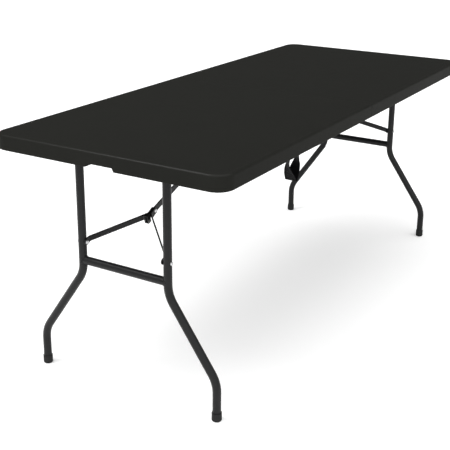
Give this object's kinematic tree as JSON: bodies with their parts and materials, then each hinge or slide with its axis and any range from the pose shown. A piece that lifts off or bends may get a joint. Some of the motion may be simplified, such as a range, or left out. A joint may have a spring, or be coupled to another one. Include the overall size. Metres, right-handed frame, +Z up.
{
  "type": "folding table",
  "caption": "Long rectangular utility table with a moulded top that folds in half and two splayed tubular leg frames that fold under it.",
  "frame": {"origin": "on the floor under the table's centre", "axes": "+X along the length, towards the half without the carry strap; +Y across; +Z up"},
  "size_m": [1.8, 0.75, 0.73],
  "materials": {
    "moulded_top": "fine-grained moulded polyethylene, satin black",
    "pivot_plastic": "moulded nylon",
    "foot_rubber": "soft black rubber",
    "webbing": "woven polypropylene webbing",
    "zinc_fastener": "zinc-plated steel",
    "zinc_plate": "zinc-plated steel sheet",
    "ring_black": "black coated steel",
    "brace_coat": "dark grey powder coat",
    "frame_coat": "dark grey hammered powder coat"
  },
  "bodies": {
    "near_half": {"near_tabletop": "moulded_top", "near_pivot_block_left": "pivot_plastic", "near_pivot_block_right": "pivot_plastic", "near_pivot_screws": "zinc_fastener", "near_strut_bracket": "zinc_plate", "near_bracket_screws": "zinc_fastener", "near_strut_pin": "zinc_fastener", "near_hinge_leaf_left": "zinc_plate", "near_hinge_leaf_right": "zinc_plate", "near_hinge_screws": "zinc_fastener", "hinge_pin_left": "zinc_fastener", "hinge_pin_right": "zinc_fastener", "carry_strap": "webbing", "strap_plates": "zinc_plate", "strap_screws": "zinc_fastener"},
    "far_half": {"far_tabletop": "moulded_top", "far_pivot_block_left": "pivot_plastic", "far_pivot_block_right": "pivot_plastic", "far_pivot_screws": "zinc_fastener", "far_strut_bracket": "zinc_plate", "far_bracket_screws": "zinc_fastener", "far_strut_pin": "zinc_fastener", "far_hinge_leaf_left": "zinc_plate", "far_hinge_leaf_right": "zinc_plate", "far_hinge_screws": "zinc_fastener"},
    "near_leg_frame": {"near_leg_left": "frame_coat", "near_leg_right": "frame_coat", "near_pivot_tube": "frame_coat", "near_crossbar": "frame_coat", "near_foot_cap_left": "foot_rubber", "near_foot_cap_right": "foot_rubber", "near_fork_bolts": "zinc_fastener", "near_fork_nuts": "zinc_fastener"},
    "near_fork": {"near_fork_left": "brace_coat", "near_fork_right": "brace_coat", "near_fork_rivets": "zinc_fastener"},
    "near_strut_arm": {"near_strut": "brace_coat", "near_lock_ring": "ring_black"},
    "far_leg_frame": {"far_leg_left": "frame_coat", "far_leg_right": "frame_coat", "far_pivot_tube": "frame_coat", "far_crossbar": "frame_coat", "far_foot_cap_left": "foot_rubber", "far_foot_cap_right": "foot_rubber", "far_fork_bolts": "zinc_fastener", "far_fork_nuts": "zinc_fastener"},
    "far_fork": {"far_fork_left": "brace_coat", "far_fork_right": "brace_coat", "far_fork_rivets": "zinc_fastener"},
    "far_strut_arm": {"far_strut": "brace_coat", "far_lock_ring": "ring_black"}
  },
  "joints": [
    {"name": "centre_fold", "type": "hinge", "parent": "near_half", "child": "far_half", "pos_m": [0, 0, 0.68], "axis": [0, 1, 0], "range_deg": [0, 90]},
    {"name": "near_leg_fold", "type": "hinge", "parent": "near_half", "child": "near_leg_frame", "pos_m": [-0.805, 0, 0.692], "axis": [0, -1, 0], "range_deg": [0, 90]},
    {"name": "near_fork_swing", "type": "hinge", "parent": "near_leg_frame", "child": "near_fork", "pos_m": [-0.805, 0, 0.427], "axis": [0, -1, 0], "range_deg": [0, 55]},
    {"name": "near_strut_swing", "type": "hinge", "parent": "near_half", "child": "near_strut_arm", "pos_m": [-0.105, 0, 0.713], "axis": [0, 1, 0], "range_deg": [0, 21.2]},
    {"name": "far_leg_fold", "type": "hinge", "parent": "far_half", "child": "far_leg_frame", "pos_m": [0.805, 0, 0.692], "axis": [0, 1, 0], "range_deg": [0, 90]},
    {"name": "far_fork_swing", "type": "hinge", "parent": "far_leg_frame", "child": "far_fork", "pos_m": [0.805, 0, 0.427], "axis": [0, 1, 0], "range_deg": [0, 55]},
    {"name": "far_strut_swing", "type": "hinge", "parent": "far_half", "child": "far_strut_arm", "pos_m": [0.105, 0, 0.713], "axis": [0, -1, 0], "range_deg": [0, 21.2]}
  ],
  "couplings": [
    {"joint": "near_fork_swing", "follows": "near_leg_fold", "ratio": 0.60602},
    {"joint": "near_strut_swing", "follows": "near_leg_fold", "ratio": 0.22952},
    {"joint": "far_fork_swing", "follows": "far_leg_fold", "ratio": 0.60602},
    {"joint": "far_strut_swing", "follows": "far_leg_fold", "ratio": 0.22952}
  ]
}
